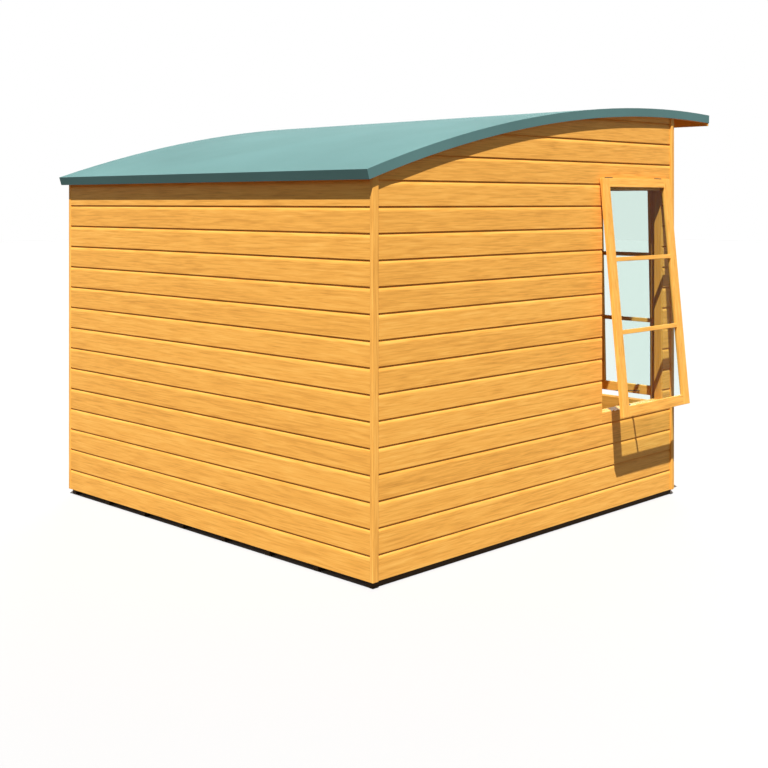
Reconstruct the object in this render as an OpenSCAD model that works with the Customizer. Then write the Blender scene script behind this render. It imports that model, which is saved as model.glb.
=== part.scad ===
// Garden summerhouse of shiplap panels under a curved, felted roof.
// X runs across the front, the doors face -Y, Z is up and the ground is at Z = 0.
// Y = 0 is the middle of the roof's plan, which reaches further out in front than behind.

/* [Walls] */
// Width over the cladding
wall_w = 2394; // [2300:1:2500]
// Depth over the cladding
wall_d = 2371; // [2300:1:2450]
// Thickness of the shiplap boards
clad_t = 12; // [8:1:18]
// Depth of the wall framing, from inside to outside
frame_d = 44; // [34:1:56]
// Width of a stud or rail in the wall framing
stud_w = 28; // [22:1:44]
// Height of the cladding's lower edge above the ground
clad_bottom = 28; // [20:1:34]

/* [Floor] */
// Number of joists under the floor
joist_count = 8; // [6:1:10]
// Width of a joist
joist_w = 34; // [27:1:50]
// Height of a joist
joist_h = 44; // [38:1:70]
// Thickness of the floor boards
deck_t = 12; // [10:1:20]

/* [Roof] */
// Radius of the roof's upper surface
roof_r = 7809; // [7500:1:8200]
// Height of the roof's highest line
roof_top = 2137; // [2110:1:2180]
// Distance of the highest line from the back cladding
crown_y = 2330; // [2200:1:2400]
// Overhang at each side
side_hang = 25; // [22:1:40]
// Overhang at the back
back_hang = 52; // [45:1:80]
// Overhang in front
front_hang = 346; // [250:1:400]
// Thickness of the roof boards
board_t = 12; // [9:1:18]
// Thickness of the felt
felt_t = 3; // [2:0.5:4]
// Depth of the felted edge all round
edge_h = 45; // [40:1:60]
// Height of the front fascia
fascia_h = 68; // [60:1:90]
// Depth of a rib under the roof boards
rib_h = 60; // [50:1:80]

/* [Windows] */
// Height of a sash
sash_h = 1227; // [1100:1:1300]
// Width of a sash in a side wall
side_sash_w = 642; // [560:1:660]
// Width of a sash in the front wall
front_sash_w = 436; // [400:1:460]
// Thickness of a sash
sash_t = 20; // [18:1:30]
// Width of a sash stile
stile_w = 60; // [45:1:75]
// Height of a sash's top rail
top_rail_h = 46; // [40:1:60]
// Height of a sash's bottom rail
bottom_rail_h = 53; // [45:1:70]
// Angle that the side sashes stand open
side_angle = 5.9; // [4:0.1:8]
// Angle that the front sashes stand open
front_angle = 1.9; // [1.5:0.1:3]
// Height of the sash hinges above the ground
hinge_z = 1750; // [1740:1:1755]

/* [Doors] */
// Width of one door
door_w = 538; // [500:1:538]
// Thickness of a door
door_t = 32; // [28:1:40]
// Height of the door's foot above the ground
door_foot = 62; // [60:1:66]
// Height of the door's top above the ground
door_head = 1752; // [1745:1:1755]

/* [Hidden] */
WINDOWS = ["left", "right", "front_left", "front_right"];

// Faces of the walls
wall_x = wall_w / 2;
back_y = (wall_d + front_hang - back_hang) / 2;
front_y = back_y - wall_d;
inner_x = wall_x - clad_t;
room_x = inner_x - frame_d;
room_back = back_y - clad_t - frame_d;
room_front = front_y + clad_t + frame_d;
floor_z = joist_h + deck_t;
joint_gap = 0.5;

// Roof: every layer is an arc about the same line
arc_y = back_y - crown_y;
arc_z = roof_top - roof_r;
board_top_r = roof_r - felt_t;
under_r = board_top_r - board_t;
plate_r = under_r - stud_w;
edge_r = roof_r - edge_h;
roof_x = wall_x + side_hang;
roof_back = back_y + back_hang;
roof_front = front_y - front_hang;
fascia_t = 14;
batten_w = side_hang - felt_t - 1;
eaves_batten_w = 28;
rib_w = 28;
rib_pitch = 592;
front_rail_z = roof_top - felt_t - board_t - rib_h - 1;

// Corner trims
trim_proud = 8;
back_trim_w = 34;
side_fillet_w = 23;
front_trim_w = 56;
trim_inner_x = wall_x - 10;

// Windows: each sash laps over the sides of its opening
sash_lap = 30;
sash_gap = 5;
glass_t = 4;
glass_lap = 7;
rebate_lap = 8;
rebate_d = 10;
sill_t = 14;
open_top = hinge_z - 58;
side_foot = hinge_z - sash_h - 1;
front_foot = hinge_z - sash_h - 17;
side_half = side_sash_w / 2 - sash_lap;
front_half = front_sash_w / 2 - sash_lap;
side_window_y = back_y - 1971;
front_window_x = 866;
front_jamb_gap = 35;
front_rail_h = 95;
stay_z = side_foot + sill_t + 6;

// Doorway
doorway_x = door_w + 3;
doorway_top = door_head + 4;
door_face = front_y - 6;
door_trim_w = 40;
door_trim_t = 14;
door_stile = 66;
lock_rail_z = 523;
lock_rail_h = 55;
kick_rail_h = 110;
panel_t = 12;
hinge_h = 90;
hinge_r = 5;
lock_x = 30;
lock_z = 1010;
lever_l = 107;

// A box from its lowest to its highest corner
module span(lo, hi) {
    translate(lo) cube([hi[0] - lo[0], hi[1] - lo[1], hi[2] - lo[2]]);
}

// What lies inside a radius about the roof's line
module below_arc(r) {
    translate([-wall_w, arc_y, arc_z]) rotate([0, 90, 0]) cylinder(r = r, h = 2 * wall_w, $fn = 720);
}

// A curved layer of the roof, cut square to its slope at both ends.
// y0 and y1 are where those cuts meet the roof's upper surface, so that all layers can end in one plane.
module arc_band(r0, r1, y0, y1, x0, x1) {
    back_turn = 90 - asin((y1 - arc_y) / roof_r);
    front_turn = 90 + asin((arc_y - y0) / roof_r);
    translate([0, arc_y, arc_z]) rotate([90, 0, 90]) rotate([0, 0, back_turn])
        rotate_extrude(angle = front_turn - back_turn, $fn = 720)
            translate([r0, x0]) square([r1 - r0, x1 - x0]);
}

// Copies to the +X side
module other_side() {
    mirror([1, 0, 0]) children();
}

// ---- Floor ----

module floor_joists() {
    first = -inner_x + joist_w / 2;
    pitch = -2 * first / (joist_count - 1);
    color("saddlebrown")
        for (i = [0 : joist_count - 1])
            translate([first + i * pitch - joist_w / 2, front_y + clad_t, 0])
                cube([joist_w, wall_d - 2 * clad_t, joist_h]);
}

module floor_deck() {
    color("burlywood") span([-inner_x, front_y + clad_t, joist_h], [inner_x, back_y - clad_t, floor_z]);
}

// ---- Walls ----

module back_cladding() {
    color("goldenrod") intersection() {
        span([-trim_inner_x, back_y - clad_t, clad_bottom], [trim_inner_x, back_y, roof_top]);
        below_arc(under_r);
    }
}

module back_frame() {
    outer = back_y - clad_t;
    rail_z = arc_z + sqrt(pow(under_r - rib_h, 2) - pow(outer - arc_y, 2)) - 1;
    color("peru") {
        span([-inner_x, room_back, floor_z], [inner_x, outer, floor_z + stud_w]);
        span([-inner_x, room_back, rail_z - stud_w], [inner_x, outer, rail_z]);
        for (x = [-inner_x : (2 * inner_x - stud_w) / 4 : inner_x])
            span([x, room_back, floor_z + stud_w + joint_gap],
                 [x + stud_w, outer, rail_z - stud_w - joint_gap]);
    }
}

module left_cladding() {
    color("goldenrod") difference() {
        intersection() {
            span([-wall_x, front_y + clad_t + side_fillet_w, clad_bottom],
                 [-inner_x, back_y - back_trim_w, roof_top]);
            below_arc(under_r);
        }
        span([-wall_x - 1, side_window_y - side_half, side_foot],
             [-inner_x + 1, side_window_y + side_half, open_top]);
    }
}

// Studs stand either side of the window, and two more share the rest of the wall
module left_frame() {
    jamb_back = side_window_y + side_half;
    jamb_front = side_window_y - side_half;
    foot = floor_z + stud_w + joint_gap;
    x0 = -inner_x;
    x1 = -room_x;
    bay = (room_back - stud_w - jamb_back) / 3;
    color("peru") {
        span([x0, room_front, floor_z], [x1, room_back, floor_z + stud_w]);
        intersection() {
            for (y = [for (i = [0 : 3]) jamb_back + i * bay])
                span([x0, y, foot], [x1, y + stud_w, roof_top]);
            below_arc(plate_r - joint_gap);
        }
        intersection() {
            span([x0, room_front, foot], [x1, jamb_front, roof_top]);
            below_arc(plate_r - joint_gap);
        }
        span([x0, jamb_front + joint_gap, open_top], [x1, jamb_back - joint_gap, open_top + stud_w]);
        span([x0, jamb_front + joint_gap, side_foot - stud_w], [x1, jamb_back - joint_gap, side_foot]);
    }
}

// The curved plate that tops each side wall
module side_plate() {
    arc_band(plate_r, under_r, room_front, room_back, -inner_x, -room_x);
}

module side_plates() {
    color("peru") {
        side_plate();
        other_side() side_plate();
    }
}

module front_left_cladding() {
    color("goldenrod") difference() {
        intersection() {
            span([-wall_x + front_trim_w, front_y, clad_bottom], [-doorway_x, front_y + clad_t, roof_top]);
            below_arc(under_r);
        }
        span([-front_window_x - front_half, front_y - 1, front_foot],
             [-front_window_x + front_half, front_y + clad_t + 1, open_top]);
        rib_notch(-rib_pitch);
    }
}

// Room for a rib to pass over the front wall
module rib_notch(x) {
    arc_band(under_r - rib_h - 1, under_r + 1, front_y - 50, front_y + 50, x - rib_w / 2 - 1, x + rib_w / 2 + 1);
}

module front_header_cladding() {
    color("goldenrod") difference() {
        intersection() {
            span([-doorway_x, front_y, doorway_top], [doorway_x, front_y + clad_t, roof_top]);
            below_arc(under_r);
        }
        rib_notch(0);
    }
}

// Framing on one side of the doorway: the studs stand clear of the window's opening
module front_frame_half() {
    jamb_out = -front_window_x - front_half - front_jamb_gap;
    jamb_in = -front_window_x + front_half + front_jamb_gap;
    y0 = front_y + clad_t;
    y1 = room_front;
    foot = floor_z + stud_w + joint_gap;
    head = front_rail_z - stud_w - joint_gap;
    span([-inner_x, y0, floor_z], [-doorway_x, y1, floor_z + stud_w]);
    span([-inner_x, y0, foot], [-inner_x + stud_w, y1, head]);
    span([jamb_out - stud_w, y0, foot], [jamb_out, y1, head]);
    span([jamb_in, y0, foot], [-doorway_x, y1, head]);
    span([jamb_out + joint_gap, y0, open_top], [jamb_in - joint_gap, y1, open_top + stud_w]);
    span([jamb_out + joint_gap, y0, front_foot - front_rail_h], [jamb_in - joint_gap, y1, front_foot]);
}

module front_frame() {
    y0 = front_y + clad_t;
    color("peru") {
        front_frame_half();
        other_side() front_frame_half();
        span([-inner_x, y0, front_rail_z - stud_w], [inner_x, room_front, front_rail_z]);
        span([-doorway_x + joint_gap, y0, doorway_top], [doorway_x - joint_gap, room_front, doorway_top + stud_w]);
    }
}

// ---- Corner trims ----

module back_left_trim() {
    color("sandybrown") intersection() {
        span([-wall_x - trim_proud, back_y - back_trim_w, clad_bottom],
             [-trim_inner_x, back_y + 2, roof_top]);
        below_arc(edge_r - 1);
    }
}

module front_left_trim() {
    y1 = front_y + clad_t;
    color("sandybrown") intersection() {
        union() {
            span([-wall_x, front_y - trim_proud, clad_bottom], [-wall_x + front_trim_w, y1, roof_top]);
            span([-wall_x - trim_proud, y1, clad_bottom], [-trim_inner_x, y1 + side_fillet_w, roof_top]);
        }
        below_arc(edge_r - 1);
    }
}

// ---- Doors ----

module door_frame() {
    outer = doorway_x + door_trim_w;
    color("sandybrown") difference() {
        span([-outer, front_y - door_trim_t, clad_bottom], [outer, front_y, doorway_top + door_trim_w]);
        span([-doorway_x, front_y - door_trim_t - 1, clad_bottom - 1], [doorway_x, front_y + 1, doorway_top]);
    }
}

module door_threshold() {
    color("sandybrown")
        span([-doorway_x + 1, front_y - door_trim_t, clad_bottom],
             [doorway_x - 1, front_y + clad_t - 1, door_foot - 3]);
}

// The left leaf: stiles, rails, a boarded foot and a rebated light for the glass
module left_door() {
    x0 = -door_w - 1;
    x1 = -1;
    back = door_face + door_t;
    light_foot = lock_rail_z + lock_rail_h;
    light_head = door_head - door_stile;
    color("sandybrown") difference() {
        span([x0, door_face, door_foot], [x1, back, door_head]);
        span([x0 + door_stile, door_face - 1, light_foot], [x1 - door_stile, back + 1, light_head]);
        span([x0 + door_stile - rebate_lap, back - rebate_d, light_foot - rebate_lap],
             [x1 - door_stile + rebate_lap, back + 1, light_head + rebate_lap]);
        span([x0 + door_stile, door_face - 1, door_foot + kick_rail_h],
             [x1 - door_stile, door_face + panel_t / 2, lock_rail_z]);
        span([x0 + door_stile, door_face + panel_t * 1.5, door_foot + kick_rail_h],
             [x1 - door_stile, back + 1, lock_rail_z]);
    }
}

module left_door_glass() {
    back = door_face + door_t;
    color("lightcyan")
        span([-door_w - 1 + door_stile - glass_lap, back - rebate_d, lock_rail_z + lock_rail_h - glass_lap],
             [-1 - door_stile + glass_lap, back - rebate_d + glass_t, door_head - door_stile + glass_lap]);
}

// Three butt hinges on each outer stile
module door_hinges() {
    leaf_w = 44;
    leaf_t = 1.5;
    color("dimgray")
        for (side = [-1, 1], z = [220, 900, 1580])
            translate([side * (doorway_x - 1), door_face, z]) {
                translate([0, -hinge_r, 0]) cylinder(r = hinge_r, h = hinge_h, $fn = 32);
                translate([-leaf_w / 2, -leaf_t, 4]) cube([leaf_w, leaf_t, hinge_h - 8]);
            }
}

// Rim lock plate with a lever on the right leaf
module door_lock() {
    plate = [32, 3, 120];
    stem = 38;
    lever = [lever_l, 12, 12];
    color("dimgray") translate([lock_x, door_face, lock_z]) {
        translate([-plate[0] / 2, -plate[1], -plate[2] / 2]) cube(plate);
        translate([0, -plate[1] + 1, 25]) rotate([90, 0, 0]) cylinder(r = 7, h = stem, $fn = 32);
        translate([-7, -stem - 10, 19]) cube(lever);
    }
}

// ---- Windows ----
// Each is drawn in its own axes: X along the wall, -Y outwards from the cladding, Z up from the hinges

function window_place(name) =
    name == "left" ? [-wall_x, side_window_y, -90] :
    name == "right" ? [wall_x, side_window_y, 90] :
    name == "front_left" ? [-front_window_x, front_y, 0] : [front_window_x, front_y, 0];

function on_side(name) = name == "left" || name == "right";

function sash_w(name) = on_side(name) ? side_sash_w : front_sash_w;

function swing(name) = on_side(name) ? side_angle : front_angle;

module in_window(name) {
    place = window_place(name);
    translate([place[0], place[1], hinge_z]) rotate([0, 0, place[2]]) children();
}

module swung(name) {
    translate([0, -sash_gap, 0]) rotate([-swing(name), 0, 0]) children();
}

module sash(name) {
    w = sash_w(name);
    lx = w / 2 - stile_w;
    foot = -sash_h + bottom_rail_h;
    color("sandybrown") in_window(name) swung(name) difference() {
        span([-w / 2, -sash_t, -sash_h], [w / 2, 0, 0]);
        span([-lx, -sash_t - 1, foot], [lx, 1, -top_rail_h]);
        span([-lx - rebate_lap, -rebate_d, foot - rebate_lap], [lx + rebate_lap, 1, -top_rail_h + rebate_lap]);
    }
}

module glass(name) {
    lx = sash_w(name) / 2 - stile_w + glass_lap;
    color("lightcyan") in_window(name) swung(name)
        span([-lx, -rebate_d, -sash_h + bottom_rail_h - glass_lap],
             [lx, -rebate_d + glass_t, -top_rail_h + glass_lap]);
}

// The side windows have sills, and the front ones a bare opening
module sill(name) {
    half = side_half - joint_gap;
    color("sandybrown") in_window(name)
        span([-half, 0, side_foot - hinge_z], [half, clad_t + frame_d + 10, side_foot - hinge_z + sill_t]);
}

// Two butt hinges over each sash: the knuckle shows, and one leaf is on the cladding behind the top rail
module window_hinges() {
    leaf_w = 65;
    knuckle_r = 3;
    leaf_h = 24;
    color("saddlebrown")
        for (name = WINDOWS, side = [-1, 1])
            in_window(name) translate([side * (sash_w(name) / 2 - 85) - leaf_w / 2, 0, 0]) {
                translate([0, -knuckle_r, knuckle_r + 1])
                    rotate([0, 90, 0]) cylinder(r = knuckle_r, h = leaf_w, $fn = 32);
                translate([0, -1.5, knuckle_r + 1 - leaf_h]) cube([leaf_w, 1.5, leaf_h]);
            }
}

// A flat bar from the foot of each sash to a pin in its opening, set askew to hold the sash out
module window_stays() {
    bar = [12, 3];
    pin = [-7, 30];
    pin_r = 9;
    color("dimgray")
        for (name = WINDOWS) {
            from_sash = [-83, -sash_gap - (sash_h - bottom_rail_h / 2) * sin(swing(name)) + 3];
            length = 1.3 * norm(pin - from_sash);
            pin_foot = on_side(name) ? side_foot + sill_t : front_foot;
            in_window(name) translate([0, 0, -hinge_z]) {
                translate([from_sash[0], from_sash[1], stay_z])
                    rotate([0, 0, atan2(pin[1] - from_sash[1], pin[0] - from_sash[0])])
                        translate([0, -bar[0] / 2, 0]) cube([length, bar[0], bar[1]]);
                translate([pin[0], pin[1], pin_foot])
                    cylinder(r = pin_r, h = stay_z - pin_foot - joint_gap, $fn = 32);
            }
        }
}

// ---- Roof ----

module roof_deck() {
    color("tan") arc_band(under_r, board_top_r, roof_front + felt_t + fascia_t, roof_back - felt_t,
                          -roof_x + felt_t, roof_x - felt_t);
}

module roof_felt() {
    color("cadetblue") difference() {
        arc_band(edge_r, roof_r, roof_front, roof_back, -roof_x, roof_x);
        arc_band(edge_r - 10, board_top_r, roof_front + felt_t, roof_back - felt_t, -roof_x + felt_t, roof_x - felt_t);
    }
}

module side_batten() {
    arc_band(edge_r, under_r, roof_front + felt_t + fascia_t + 1, roof_back - felt_t,
             -roof_x + felt_t, -roof_x + felt_t + batten_w);
}

module roof_side_battens() {
    color("peru") {
        side_batten();
        other_side() side_batten();
    }
}

module roof_back_batten() {
    x = roof_x - felt_t - batten_w - joint_gap;
    color("peru") arc_band(edge_r, under_r, roof_back - felt_t - eaves_batten_w, roof_back - felt_t, -x, x);
}

module front_fascia() {
    y0 = roof_front + felt_t;
    x = roof_x - felt_t;
    color("sandybrown") intersection() {
        span([-x, y0, roof_top - felt_t - fascia_h], [x, y0 + fascia_t, roof_top]);
        below_arc(board_top_r);
    }
}

// Three ribs run from the fascia to the back wall under the roof boards
module roof_ribs() {
    color("peru")
        for (x = [-rib_pitch, 0, rib_pitch])
            arc_band(under_r - rib_h, under_r, roof_front + felt_t + fascia_t + 1, back_y - clad_t - 1,
                     x - rib_w / 2, x + rib_w / 2);
}

floor_joists();
floor_deck();
back_cladding();
back_frame();
left_cladding();
left_frame();
other_side() left_cladding();  // right_cladding
other_side() left_frame();  // right_frame
side_plates();
front_left_cladding();
other_side() front_left_cladding();  // front_right_cladding
front_header_cladding();
front_frame();
back_left_trim();
other_side() back_left_trim();  // back_right_trim
front_left_trim();
other_side() front_left_trim();  // front_right_trim
door_frame();
door_threshold();
left_door();
left_door_glass();
other_side() left_door();  // right_door
other_side() left_door_glass();  // right_door_glass
door_hinges();
door_lock();
for (name = WINDOWS) {
    sash(name);
    glass(name);
}
for (name = ["left", "right"])
    sill(name);
window_hinges();
window_stays();
roof_deck();
roof_felt();
roof_side_battens();
roof_back_batten();
front_fascia();
roof_ribs();
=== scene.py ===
import math
import random

import bmesh
import bpy
from mathutils import Matrix, Vector


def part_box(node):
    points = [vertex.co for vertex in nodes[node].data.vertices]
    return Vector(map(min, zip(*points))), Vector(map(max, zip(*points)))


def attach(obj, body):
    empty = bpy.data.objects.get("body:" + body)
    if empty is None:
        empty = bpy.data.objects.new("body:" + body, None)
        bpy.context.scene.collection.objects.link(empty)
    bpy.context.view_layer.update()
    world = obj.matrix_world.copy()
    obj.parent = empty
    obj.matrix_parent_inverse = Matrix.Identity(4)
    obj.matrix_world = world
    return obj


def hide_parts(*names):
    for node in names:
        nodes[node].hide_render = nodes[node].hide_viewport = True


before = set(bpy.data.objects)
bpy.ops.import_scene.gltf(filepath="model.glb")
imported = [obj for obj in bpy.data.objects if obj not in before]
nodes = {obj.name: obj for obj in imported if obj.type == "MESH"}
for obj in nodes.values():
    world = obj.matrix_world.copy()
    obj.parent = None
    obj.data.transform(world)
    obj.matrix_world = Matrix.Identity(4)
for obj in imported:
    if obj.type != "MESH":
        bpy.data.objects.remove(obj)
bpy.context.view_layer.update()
print("frame loaded:", len(nodes), "nodes")

# faces of the walls, read from the frame
backLo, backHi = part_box("back_cladding")
leftLo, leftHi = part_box("left_cladding")
headerLo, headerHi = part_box("front_header_cladding")
feltLo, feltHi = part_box("roof_felt")
wallX = -leftLo[0]
backY = backHi[1]
frontY = headerLo[1]
cladFoot = backLo[2]
cladDepth = backHi[1] - backLo[1]

roof = {
    "radius": 7.809,          # of the felt's upper surface
    "crownFromBack": 2.330,
    "felt": 0.003,
    "boards": 0.012,
    "boardWidth": 0.096,
    "groove": 0.003,
}
arcY = backY - roof["crownFromBack"]
arcZ = feltHi[2] - roof["radius"]
underR = roof["radius"] - roof["felt"] - roof["boards"]


def roofUnder(y):
    return arcZ + math.sqrt(underR ** 2 - (y - arcY) ** 2)


# camera: level, behind the back left corner, with its lens shifted to frame the building

camera = {
    "besideWall": 3.619,
    "behindWall": 3.585,
    "eyeHeight": 1.598,       # above the foot of the boards
    "turn": 45.31,            # degrees from +X towards -Y
    "lens": 56.92,
    "shift": -0.2365,
}


def placeCamera():
    data = bpy.data.cameras.new("camera")
    data.lens = camera["lens"]
    data.sensor_width = 36
    data.shift_y = camera["shift"]
    data.clip_end = 200
    cam = bpy.data.objects.new("camera", data)
    bpy.context.scene.collection.objects.link(cam)
    turn = math.radians(camera["turn"])
    up = Vector((0, 0, 1))
    forward = Vector((math.cos(turn), -math.sin(turn), 0))
    right = forward.cross(up)
    place = Vector((-wallX - camera["besideWall"], backY + camera["behindWall"],
                    cladFoot + camera["eyeHeight"]))
    cam.matrix_world = Matrix.Translation(place) @ Matrix((right, up, -forward)).transposed().to_4x4()
    bpy.context.scene.camera = cam


placeCamera()


# materials

def newMaterial(name):
    mat = bpy.data.materials.new(name)
    mat.use_nodes = True
    tree = mat.node_tree
    tree.nodes.clear()
    out = tree.nodes.new("ShaderNodeOutputMaterial")
    shader = tree.nodes.new("ShaderNodeBsdfPrincipled")
    tree.links.new(shader.outputs["BSDF"], out.inputs["Surface"])
    return mat, tree, shader


def addNode(tree, kind, inputs=(), **settings):
    node = tree.nodes.new(kind)
    for key, value in settings.items():
        setattr(node, key, value)
    for key, value in dict(inputs).items():
        if isinstance(value, bpy.types.NodeSocket):
            tree.links.new(value, node.inputs[key])
        else:
            node.inputs[key].default_value = value
    return node


def setRamp(ramp, stops):
    elements = ramp.color_ramp.elements
    while len(elements) < len(stops):
        elements.new(0.5)
    for element, (place, colour) in zip(elements, stops):
        element.position = place
        element.color = (*colour, 1)


def noise(tree, place, scale, detail=2.0):
    return addNode(tree, "ShaderNodeTexNoise",
                   {"Vector": place, "Scale": scale, "Detail": detail}).outputs["Fac"]


wood = {
    "dark": (0.60, 0.262, 0.042),
    "face": (0.86, 0.405, 0.072),
    "light": (0.98, 0.53, 0.120),
    "fineGrain": (9.0, 420.0),    # scale along and across the grain
    "midGrain": (6.0, 140.0),
    "broadGrain": (2.6, 34.0),
    "boardTone": 0.10,
}


def woodMaterial(name, along, tint=(1.0, 1.0, 1.0), rough=0.55):
    # grain runs along axis 0, 1 or 2; each board has its own tone and its own stretch of grain
    mat, tree, shader = newMaterial(name)
    place = addNode(tree, "ShaderNodeTexCoord").outputs["Object"]
    board = addNode(tree, "ShaderNodeAttribute", attribute_name="board")
    moved = addNode(tree, "ShaderNodeVectorMath", {0: board.outputs["Vector"], 1: (9.0, 9.0, 9.0), 2: place},
                    operation="MULTIPLY_ADD").outputs[0]

    def streaks(scales, detail, distort):
        scale = [scales[1]] * 3
        scale[along] = scales[0]
        spread = addNode(tree, "ShaderNodeMapping", {"Vector": moved, "Scale": scale}).outputs[0]
        return addNode(tree, "ShaderNodeTexNoise", {"Vector": spread, "Scale": 1.0, "Detail": detail,
                                                   "Roughness": 0.6, "Distortion": distort}).outputs["Fac"]

    fine = streaks(wood["fineGrain"], 2.0, 0.1)
    mid = streaks(wood["midGrain"], 2.0, 0.5)
    broad = streaks(wood["broadGrain"], 1.0, 1.2)
    grain = addNode(tree, "ShaderNodeMath", {0: fine, 1: 0.55, 2: mid}, operation="MULTIPLY_ADD").outputs[0]
    figure = addNode(tree, "ShaderNodeMath", {0: broad, 1: 0.45, 2: grain},
                     operation="MULTIPLY_ADD").outputs[0]
    tone = addNode(tree, "ShaderNodeSeparateXYZ", {0: board.outputs["Vector"]}).outputs[0]
    toned = addNode(tree, "ShaderNodeMath", {0: tone, 1: wood["boardTone"], 2: figure},
                    operation="MULTIPLY_ADD").outputs[0]
    spread = addNode(tree, "ShaderNodeMapRange",
                     {"Value": toned, "From Min": 0.52, "From Max": 1.60}).outputs[0]
    ramp = addNode(tree, "ShaderNodeValToRGB", {"Fac": spread})
    setRamp(ramp, [(level, [c * t for c, t in zip(wood[shade], tint)])
                   for level, shade in ((0.12, "dark"), (0.50, "face"), (0.88, "light"))])
    tree.links.new(ramp.outputs["Color"], shader.inputs["Base Color"])
    shader.inputs["Roughness"].default_value = rough
    shader.inputs["Specular IOR Level"].default_value = 0.2
    bump = addNode(tree, "ShaderNodeBump", {"Strength": 0.25, "Distance": 0.0005, "Height": grain})
    tree.links.new(bump.outputs[0], shader.inputs["Normal"])
    return mat


axisNames = "xyz"
outerWood = [woodMaterial("clad_grain_" + axisNames[i], i) for i in range(3)]
trimWood = [woodMaterial("trim_grain_" + axisNames[i], i, (1.02, 1.03, 1.08)) for i in range(3)]
innerWood = [woodMaterial("framing_grain_" + axisNames[i], i, (0.86, 0.76, 0.66), 0.65) for i in range(3)]
# joists: the wood grain tinted near-black navy, painted shade of the dark gap under the floor rather than
# the timber's own colour
joistShadeWood = [woodMaterial("joist_painted_shade_" + axisNames[i], i, (0.045, 0.05, 0.09), 0.8) for i in range(3)]

feltLook = {
    "base": (0.094, 0.187, 0.180),
    "grit": 420.0,
    "cloud": 1.6,
}


def feltMaterial():
    mat, tree, shader = newMaterial("green_felt")
    place = addNode(tree, "ShaderNodeTexCoord").outputs["Object"]
    grit = noise(tree, place, feltLook["grit"])
    cloud = noise(tree, place, feltLook["cloud"], 3.0)
    both = addNode(tree, "ShaderNodeMath", {0: grit, 1: 0.5, 2: cloud}, operation="MULTIPLY_ADD").outputs[0]
    ramp = addNode(tree, "ShaderNodeValToRGB", {"Fac": both})
    setRamp(ramp, [(0.4, [c * 0.88 for c in feltLook["base"]]), (1.0, [c * 1.13 for c in feltLook["base"]])])
    tree.links.new(ramp.outputs["Color"], shader.inputs["Base Color"])
    shader.inputs["Roughness"].default_value = 0.9
    shader.inputs["Specular IOR Level"].default_value = 0.15
    bump = addNode(tree, "ShaderNodeBump", {"Strength": 0.4, "Distance": 0.001, "Height": grit})
    tree.links.new(bump.outputs[0], shader.inputs["Normal"])
    return mat


glassLook = {
    "cast": (0.905, 0.952, 0.933, 1),
    "sheen": (0.008, 0.12),       # mirrored share, seen square on and edge on
}


def glassMaterial():
    # a thin sheet: light goes straight through each face with a faint green cast, and a little is mirrored
    mat = bpy.data.materials.new("window_glass")
    mat.use_nodes = True
    tree = mat.node_tree
    tree.nodes.clear()
    clear = addNode(tree, "ShaderNodeBsdfTransparent", {"Color": glassLook["cast"]})
    gloss = addNode(tree, "ShaderNodeBsdfGlossy", {"Roughness": 0.03})
    facing = addNode(tree, "ShaderNodeLayerWeight", {"Blend": 0.5}).outputs["Facing"]
    low, high = glassLook["sheen"]
    sheen = addNode(tree, "ShaderNodeMapRange",
                    {"Value": facing, "From Min": 0.45, "To Min": low, "To Max": high})
    mix = addNode(tree, "ShaderNodeMixShader",
                  {0: sheen.outputs[0], 1: clear.outputs[0], 2: gloss.outputs[0]})
    addNode(tree, "ShaderNodeOutputMaterial", {"Surface": mix.outputs[0]})
    return mat


ironLook = {
    "dark": (0.030, 0.022, 0.016),
    "worn": (0.060, 0.046, 0.036),
    "mottle": 260.0,
}


def ironMaterial():
    mat, tree, shader = newMaterial("dark_iron")
    place = addNode(tree, "ShaderNodeTexCoord").outputs["Object"]
    mottle = noise(tree, place, ironLook["mottle"])
    ramp = addNode(tree, "ShaderNodeValToRGB", {"Fac": mottle})
    setRamp(ramp, [(0.3, ironLook["dark"]), (0.8, ironLook["worn"])])
    tree.links.new(ramp.outputs["Color"], shader.inputs["Base Color"])
    shader.inputs["Metallic"].default_value = 0.4
    shader.inputs["Roughness"].default_value = 0.45
    return mat


felt = feltMaterial()
glass = glassMaterial()
iron = ironMaterial()
print("materials made")


# building pieces from many small boards

random.seed(4)


def boardMarks(tone):
    return (tone, tone * 7.3 % 1, tone * 3.7 % 1)


def faceOutwards(mesh):
    # drop the slivers left by the cuts, and turn every face outwards
    bm = bmesh.new()
    bm.from_mesh(mesh)
    bmesh.ops.dissolve_degenerate(bm, dist=0.00002, edges=bm.edges)
    bmesh.ops.recalc_face_normals(bm, faces=bm.faces)
    bm.to_mesh(mesh)
    bm.free()


def makePiece(name, parts, mats, replaced, bevel=0.0):
    # parts: (corners, faces, material number); each part gets its own tone and grain
    corners = []
    faces = []
    kinds = []
    marks = []
    for points, sides, kind in parts:
        first = len(corners)
        corners += [tuple(p) for p in points]
        faces += [tuple(first + i for i in side) for side in sides]
        kinds += [kind] * len(sides)
        marks += [boardMarks(random.random())] * len(points)
    mesh = bpy.data.meshes.new(name)
    mesh.from_pydata(corners, [], faces)
    for polygon, kind in zip(mesh.polygons, kinds):
        polygon.material_index = kind
    layer = mesh.attributes.new("board", "FLOAT_VECTOR", "POINT")
    layer.data.foreach_set("vector", [v for mark in marks for v in mark])
    for mat in mats:
        mesh.materials.append(mat)
    faceOutwards(mesh)
    piece = bpy.data.objects.new(name, mesh)
    bpy.context.scene.collection.objects.link(piece)
    if bevel:
        soften(piece, bevel)
    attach(piece, "root")
    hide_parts(*replaced)
    return piece


def soften(piece, width):
    edge = piece.modifiers.new("soft_edges", "BEVEL")
    edge.width = width
    edge.segments = 2
    edge.limit_method = "ANGLE"
    edge.angle_limit = math.radians(40)
    edge.harden_normals = False


boxFaces = [(0, 3, 2, 1), (4, 5, 6, 7), (0, 1, 5, 4), (1, 2, 6, 5), (2, 3, 7, 6), (3, 0, 4, 7)]


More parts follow.
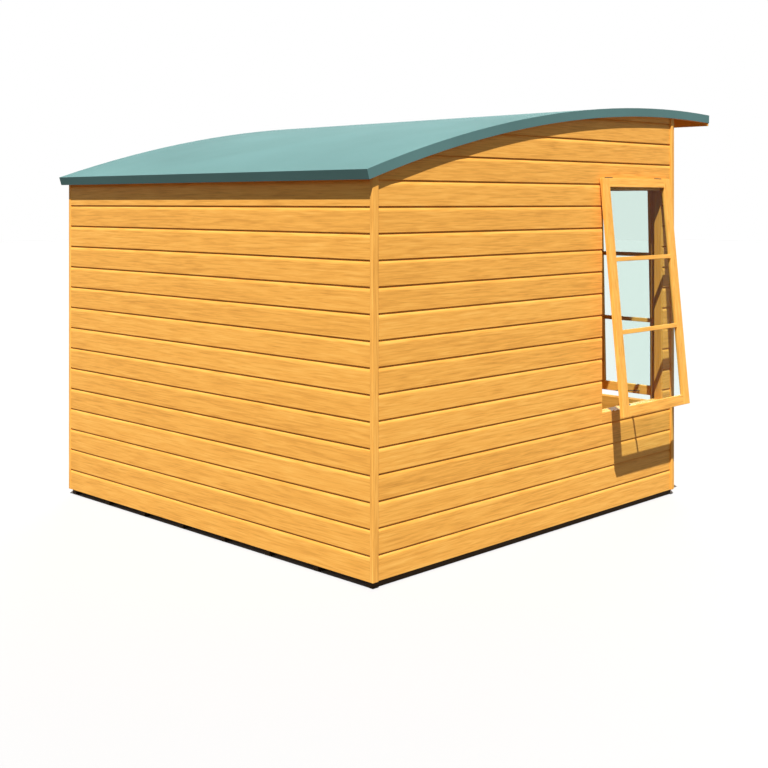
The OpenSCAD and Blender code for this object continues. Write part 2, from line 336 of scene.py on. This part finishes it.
def boxPart(lo, hi, kind=None, turned=None):
    # a straight bar with its grain along its longest side, unless kind says which
    if kind is None:
        size = [b - a for a, b in zip(lo, hi)]
        kind = size.index(max(size))
    points = [Vector((x, y, z)) for z in (lo[2], hi[2])
              for x, y in ((lo[0], lo[1]), (hi[0], lo[1]), (hi[0], hi[1]), (lo[0], hi[1]))]
    if turned is not None:
        points = [turned @ p for p in points]
    return points, boxFaces, kind


# plain timbers: each solid of a CAD node becomes a board with its own grain

def islands(mesh):
    # the separate solids of a mesh, as lists of polygons
    parent = list(range(len(mesh.vertices)))
    keys = {}
    for v in mesh.vertices:
        key = tuple(round(c, 5) for c in v.co)
        parent[v.index] = keys.setdefault(key, v.index)

    def root(i):
        while parent[i] != i:
            parent[i] = parent[parent[i]]
            i = parent[i]
        return i

    for polygon in mesh.polygons:
        first = root(polygon.vertices[0])
        for i in polygon.vertices[1:]:
            parent[root(i)] = first
    groups = {}
    for polygon in mesh.polygons:
        groups.setdefault(root(polygon.vertices[0]), []).append(polygon)
    return list(groups.values())


def timber(node, mats, bevel=0.0015):
    mesh = nodes[node].data
    parts = []
    for group in islands(mesh):
        used = {}
        sides = []
        for polygon in group:
            side = []
            for i in polygon.vertices:
                key = tuple(round(c, 6) for c in mesh.vertices[i].co)
                side.append(used.setdefault(key, len(used)))
            if len(set(side)) == len(side):
                sides.append(side)
        points = list(used)
        size = [max(p[k] for p in points) - min(p[k] for p in points) for k in range(3)]
        parts.append((points, sides, size.index(max(size))))
    return makePiece(node + "_timber", parts, mats, [node], bevel)


for node in ("back_frame", "left_frame", "right_frame", "front_frame", "side_plates", "roof_ribs"):
    timber(node, innerWood)
for node in ("roof_side_battens", "roof_back_batten"):
    timber(node, innerWood)
for node in ("back_left_trim", "back_right_trim", "front_left_trim", "front_right_trim", "door_threshold",
             "left_sill", "right_sill", "front_fascia"):
    timber(node, trimWood, 0.002)
# the floor joists take the near-black navy painted shade
timber("floor_joists", joistShadeWood)
print("timbers made")

# shiplap boards

shiplap = {
    "cover": 0.113,           # height that each board covers
    "lip": 0.0095,            # depth of the scoop behind the next board's lower edge
    "scoop": 0.024,           # height of the scooped top edge
    "tongue": 0.008,          # what stands up behind the next board
    "scoopSteps": 6,
    "station": 0.04,          # spacing of the cuts along a board that meets the roof
}


def boardOutline():
    # (depth behind the face, height above the board's foot), once round
    s = shiplap
    start = s["cover"] - s["scoop"]
    top = s["cover"] + s["tongue"]
    points = [(0.001, 0.0), (0.0, 0.001), (0.0, start)]
    for i in range(1, s["scoopSteps"] + 1):
        t = i / s["scoopSteps"]
        points.append((s["lip"] * t * t, start + s["scoop"] * t))
    points += [(s["lip"], top), (cladDepth, top), (cladDepth, s["tongue"]),
               (s["lip"] + 0.0005, s["tongue"]), (s["lip"] + 0.0005, 0.0)]
    return points


outline = boardOutline()


def boardPart(start, end, low, high, foot, topOf, toWorld, kind):
    # one board from start to end along its wall, cut between low and high and under the roof
    curved = min(topOf(start), topOf(end)) < high
    steps = max(1, int((end - start) / shiplap["station"])) if curved else 1
    count = len(outline)
    points = []
    for k in range(steps + 1):
        u = start + (end - start) * k / steps
        ceiling = max(min(high, topOf(u)), low + 0.0005)
        points += [Vector(toWorld(u, depth, min(max(foot + z, low), ceiling))) for depth, z in outline]
    sides = []
    for k in range(steps):
        for i in range(count):
            j = (i + 1) % count
            a = k * count
            b = a + count
            sides.append((a + i, a + j, b + j, b + i))
    sides.append(tuple(reversed(range(count))))
    sides.append(tuple(steps * count + i for i in range(count)))
    return points, sides, kind


def wallParts(start, end, topOf, toWorld, kind, opening=None, foot=cladFoot):
    # opening: (start, end, foot, head) that the boards are cut round
    parts = []
    top = max(topOf(start), topOf(end))
    row = 0
    while cladFoot + row * shiplap["cover"] < top:
        low = cladFoot + row * shiplap["cover"]
        high = low + shiplap["cover"] + shiplap["tongue"]
        row += 1
        if high < foot:
            continue
        spans = [(start, end, max(low, foot), high)]
        if opening and high > opening[2] and low < opening[3]:
            spans = [(start, opening[0], low, high), (opening[1], end, low, high)]
            if low < opening[2]:
                spans.append((opening[0], opening[1], low, opening[2]))
            if high > opening[3]:
                spans.append((opening[0], opening[1], opening[3], high))
        for a, b, cutLow, cutHigh in spans:
            while a < b and topOf(a) < cutLow + 0.002:
                a += 0.01
            while b > a and topOf(b) < cutLow + 0.002:
                b -= 0.01
            if b - a > 0.01:
                parts.append(boardPart(a, b, cutLow, cutHigh, low, topOf, toWorld, kind))
    return parts


window = {
    "lap": 0.030,             # of the sash over each side of its opening
    "headBelowHinge": 0.058,
    "footBelowHinge": (1.228, 1.244),    # of the side and of the front openings
}
sashLook = {
    "height": 1.227,
    "thickness": 0.020,
    "stile": 0.060,
    "topRail": 0.046,
    "bottomRail": 0.053,
    "gap": 0.005,             # between sash and wall at the hinges
    "angles": (5.9, 1.9),     # that the side and the front sashes stand open
    "bar": 0.022,
    "glassFace": 0.010,       # depth of the rebate, from the inner side
    "glass": 0.004,
}
sideAngle, frontAngle = [math.radians(angle) for angle in sashLook["angles"]]
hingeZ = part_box("left_sash")[1][2] - sashLook["thickness"] * math.sin(sideAngle)


def holeOf(name, axis):
    # the opening behind a sash: its two ends along the wall, foot and head
    lo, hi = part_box(name + "_sash")
    foot = hingeZ - window["footBelowHinge"][0 if axis else 1]
    return lo[axis] + window["lap"], hi[axis] - window["lap"], foot, hingeZ - window["headBelowHinge"]


flatTop = roofUnder(backY)
makePiece("back_boards",
          wallParts(backLo[0], backHi[0], lambda u: flatTop, lambda u, d, z: (-u, backY - d, z), 0),
          outerWood, ["back_cladding"])
for side, sign in (("left", -1), ("right", 1)):
    makePiece(side + "_boards",
              wallParts(leftLo[1], leftHi[1], roofUnder, lambda u, d, z: (sign * (wallX - d), u, z), 1,
                        holeOf(side, 1)), outerWood, [side + "_cladding"])
frontTop = roofUnder(frontY)
for side in ("left", "right"):
    lo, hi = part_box("front_" + side + "_cladding")
    makePiece("front_" + side + "_boards",
              wallParts(lo[0], hi[0], lambda u: frontTop, lambda u, d, z: (u, frontY + d, z), 0,
                        holeOf("front_" + side, 0)), outerWood, ["front_" + side + "_cladding"])
makePiece("front_header_boards",
          wallParts(headerLo[0], headerHi[0], lambda u: frontTop, lambda u, d, z: (u, frontY + d, z), 0,
                    None, headerLo[2]), outerWood, ["front_header_cladding"])
print("shiplap walls made")

# sashes: two stiles, two rails and two glazing bars, standing open on their hinges


def sashParts(width, turned):
    # X along the wall, -Y outwards, Z up from the hinges; the bars lie before and behind the glass
    s = sashLook
    setBack = 0.0004
    side = width / 2
    inner = side - s["stile"]
    foot = -s["height"]
    front = -s["thickness"]
    parts = []
    for sign in (-1, 1):
        a, b = sorted((sign * side, sign * inner))
        parts.append(boxPart((a, front, foot), (b, 0, 0), 2, turned))
    lightFoot = foot + s["bottomRail"]
    lightHead = -s["topRail"]
    parts.append(boxPart((-inner, front + setBack, lightHead), (inner, -setBack, 0), 0, turned))
    parts.append(boxPart((-inner, front + setBack, foot), (inner, -setBack, lightFoot), 0, turned))
    pane = (lightHead - lightFoot) / 3
    glassBack = -s["glassFace"] + s["glass"]
    for i in (1, 2):
        z = lightFoot + i * pane
        half = s["bar"] / 2
        for near, far in ((front + 0.001, -s["glassFace"] - 0.0002), (glassBack + 0.0002, -0.001)):
            parts.append(boxPart((-inner, near, z - half), (inner, far, z + half), 0, turned))
    return parts


def grainAcross(parts):
    # a side window's rails run along Y and not along X
    return [(points, sides, {0: 1}.get(kind, kind)) for points, sides, kind in parts]


hang = Matrix.Translation((0, -sashLook["gap"], 0))
for name, axis, turn in (("left", 1, -90), ("right", 1, 90), ("front_left", 0, 0), ("front_right", 0, 0)):
    lo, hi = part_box(name + "_sash")
    middle = (lo[axis] + hi[axis]) / 2
    place = Vector((middle, frontY, hingeZ))
    if axis:
        place = Vector((math.copysign(wallX, lo[0]), middle, hingeZ))
    swing = Matrix.Rotation(-(sideAngle if axis else frontAngle), 4, "X")
    turned = Matrix.Translation(place) @ Matrix.Rotation(math.radians(turn), 4, "Z") @ hang @ swing
    parts = sashParts(hi[axis] - lo[axis], turned)
    makePiece(name + "_sash_timber", grainAcross(parts) if axis else parts, trimWood, [name + "_sash"],
              0.0018)
print("sashes made")

# doors: framed, with three panes over a boarded foot

door = {
    "stile": 0.066,
    "kickRail": 0.110,
    "bar": 0.024,
    "panel": 0.012,
    "panelBoards": 4,
    "rebate": 0.010,
    "glass": 0.004,
    "barSetBack": 0.006,      # of the bars behind the door's outer face
    "lockRailFoot": 0.523,
    "lockRail": 0.055,
}


def doorParts(lo, hi):
    d = door
    x0, x1 = lo[0] + d["stile"], hi[0] - d["stile"]
    y0, y1 = lo[1], hi[1]
    lightFoot = d["lockRailFoot"] + d["lockRail"]
    lightHead = hi[2] - d["stile"]
    parts = [boxPart(lo, (x0, y1, hi[2]), 2), boxPart((x1, y0, lo[2]), hi, 2)]
    for foot, head in ((lo[2], lo[2] + d["kickRail"]), (d["lockRailFoot"], lightFoot), (lightHead, hi[2])):
        parts.append(boxPart((x0, y0 + 0.0004, foot), (x1, y1 - 0.0004, head), 0))
    step = (x1 - x0) / d["panelBoards"]
    for i in range(d["panelBoards"]):
        a = x0 + i * step
        parts.append(boxPart((a, y0 + d["panel"] / 2, lo[2] + d["kickRail"]),
                             (a + step, y0 + d["panel"] * 1.5, d["lockRailFoot"]), 2))
    pane = (lightHead - lightFoot) / 3
    for i in (1, 2):
        z = lightFoot + i * pane
        half = d["bar"] / 2
        for near, far in ((y0 + d["barSetBack"], y1 - d["rebate"] - 0.0002),
                          (y1 - d["rebate"] + d["glass"] + 0.0002, y1 - 0.001)):
            parts.append(boxPart((x0, near, z - half), (x1, far, z + half), 0))
    return parts


for node in ("left_door", "right_door"):
    lo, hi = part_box(node)
    makePiece(node + "_timber", doorParts(lo, hi), trimWood, [node], 0.0022)

lo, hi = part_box("door_frame")
width = -lo[0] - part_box("door_threshold")[1][0] - 0.001
makePiece("door_frame_timber",
          [boxPart(lo, (lo[0] + width, hi[1], hi[2]), 2), boxPart((hi[0] - width, lo[1], lo[2]), hi, 2),
           boxPart((lo[0] + width, lo[1] + 0.0004, hi[2] - width), (hi[0] - width, hi[1], hi[2]), 0)],
          trimWood, ["door_frame"], 0.002)
print("doors made")

# floor and roof boards

floor = {
    "boardWidth": 0.112,
    "groove": 0.002,
}


def floorParts(lo, hi):
    count = round((hi[0] - lo[0]) / floor["boardWidth"])
    step = (hi[0] - lo[0]) / count
    starts = [lo[0] + i * step for i in range(count)]
    return [boxPart((x, lo[1], lo[2]), (x + step - floor["groove"], hi[1], hi[2]), 1) for x in starts]


makePiece("floor_boards", floorParts(*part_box("floor_deck")), innerWood, ["floor_deck"], 0.001)


def roofParts(lo, hi):
    outer = roof["radius"] - roof["felt"] - 0.0003
    first = math.asin((lo[1] - arcY) / roof["radius"])
    last = math.asin((hi[1] - arcY) / roof["radius"])
    count = round((last - first) * outer / roof["boardWidth"])
    step = (last - first) / count
    gap = roof["groove"] / outer
    parts = []
    for i in range(count):
        a = first + i * step
        ring = [(underR, a + gap), (underR, a + step), (outer, a + step), (outer, a)]
        points = [Vector((x, arcY + r * math.sin(t), arcZ + r * math.cos(t)))
                  for x in (lo[0], hi[0]) for r, t in ring]
        parts.append((points, boxFaces, 0))
    return parts


makePiece("roof_boards", roofParts(*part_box("roof_deck")), innerWood, ["roof_deck"], 0.001)


# what is left of the frame gets its finish

def dress(node, mat):
    mesh = nodes[node].data
    mesh.materials.clear()
    mesh.materials.append(mat)


for node in nodes:
    if node.endswith("_glass"):
        dress(node, glass)
for node in ("door_hinges", "door_lock", "window_hinges", "window_stays"):
    dress(node, iron)
dress("roof_felt", felt)
soften(nodes["roof_felt"], 0.002)
print("finishes set")

# light: a high sun behind the camera, a soft white sky, and a soft fill on the far sides

light = {
    "sun": 6.9,
    "sunHigh": 58.0,
    "sunTurn": 47.0,          # from the left wall's normal towards the back wall's
    "sunWide": 0.6,
    "sky": 0.24,
    "fill": 1.5,
    "fillWide": 40.0,
    "fillFrom": (0.6, -0.75, 0.28),
}


def sunLamp(name, energy, wide, toSun):
    data = bpy.data.lights.new(name, "SUN")
    data.energy = energy
    data.angle = math.radians(wide)
    lamp = bpy.data.objects.new(name, data)
    bpy.context.scene.collection.objects.link(lamp)
    lamp.rotation_euler = Vector(toSun).to_track_quat("Z", "Y").to_euler()


def looking(tree):
    # 1 where the camera, a mirror or glass looks, 0 for the light that surfaces gather
    path = addNode(tree, "ShaderNodeLightPath").outputs
    seen = path["Is Camera Ray"]
    for ray in ("Is Glossy Ray", "Is Transmission Ray"):
        seen = addNode(tree, "ShaderNodeMath", {0: seen, 1: path[ray]}, operation="MAXIMUM").outputs[0]
    return seen


def placeLight():
    high = math.radians(light["sunHigh"])
    turn = math.radians(light["sunTurn"])
    sunLamp("sun", light["sun"], light["sunWide"],
            (-math.cos(turn) * math.cos(high), math.sin(turn) * math.cos(high), math.sin(high)))
    sunLamp("fill", light["fill"], light["fillWide"], light["fillFrom"])
    world = bpy.data.worlds.new("world")
    bpy.context.scene.world = world
    world.use_nodes = True
    tree = world.node_tree
    tree.nodes.clear()
    sky = addNode(tree, "ShaderNodeBackground", {"Color": (1, 1, 1, 1), "Strength": light["sky"]})
    white = addNode(tree, "ShaderNodeBackground", {"Color": (1, 1, 1, 1), "Strength": 1.0})
    mix = addNode(tree, "ShaderNodeMixShader", {0: looking(tree), 1: sky.outputs[0], 2: white.outputs[0]})
    addNode(tree, "ShaderNodeOutputWorld", {"Surface": mix.outputs[0]})


placeLight()

ground = {
    "reach": 40.0,
    "pale": 0.465,            # what is looked at
    "dim": 0.08,              # what sends light back up onto the walls
    "drop": 0.001,
}


def makeGround():
    reach = ground["reach"]
    mesh = bpy.data.meshes.new("ground")
    corners = [(-reach, -reach, 0), (reach, -reach, 0), (reach, reach, 0), (-reach, reach, 0)]
    mesh.from_pydata(corners, [], [(0, 1, 2, 3)])
    mat = bpy.data.materials.new("pale_ground")
    mat.use_nodes = True
    tree = mat.node_tree
    tree.nodes.clear()
    pale = addNode(tree, "ShaderNodeBsdfDiffuse", {"Color": [ground["pale"]] * 3 + [1]})
    dim = addNode(tree, "ShaderNodeBsdfDiffuse", {"Color": [ground["dim"]] * 3 + [1]})
    mix = addNode(tree, "ShaderNodeMixShader", {0: looking(tree), 1: dim.outputs[0], 2: pale.outputs[0]})
    addNode(tree, "ShaderNodeOutputMaterial", {"Surface": mix.outputs[0]})
    mesh.materials.append(mat)
    plane = bpy.data.objects.new("ground", mesh)
    plane.location.z = -ground["drop"]
    bpy.context.scene.collection.objects.link(plane)


makeGround()
bpy.context.scene.view_settings.view_transform = "Standard"
print("light and ground placed")
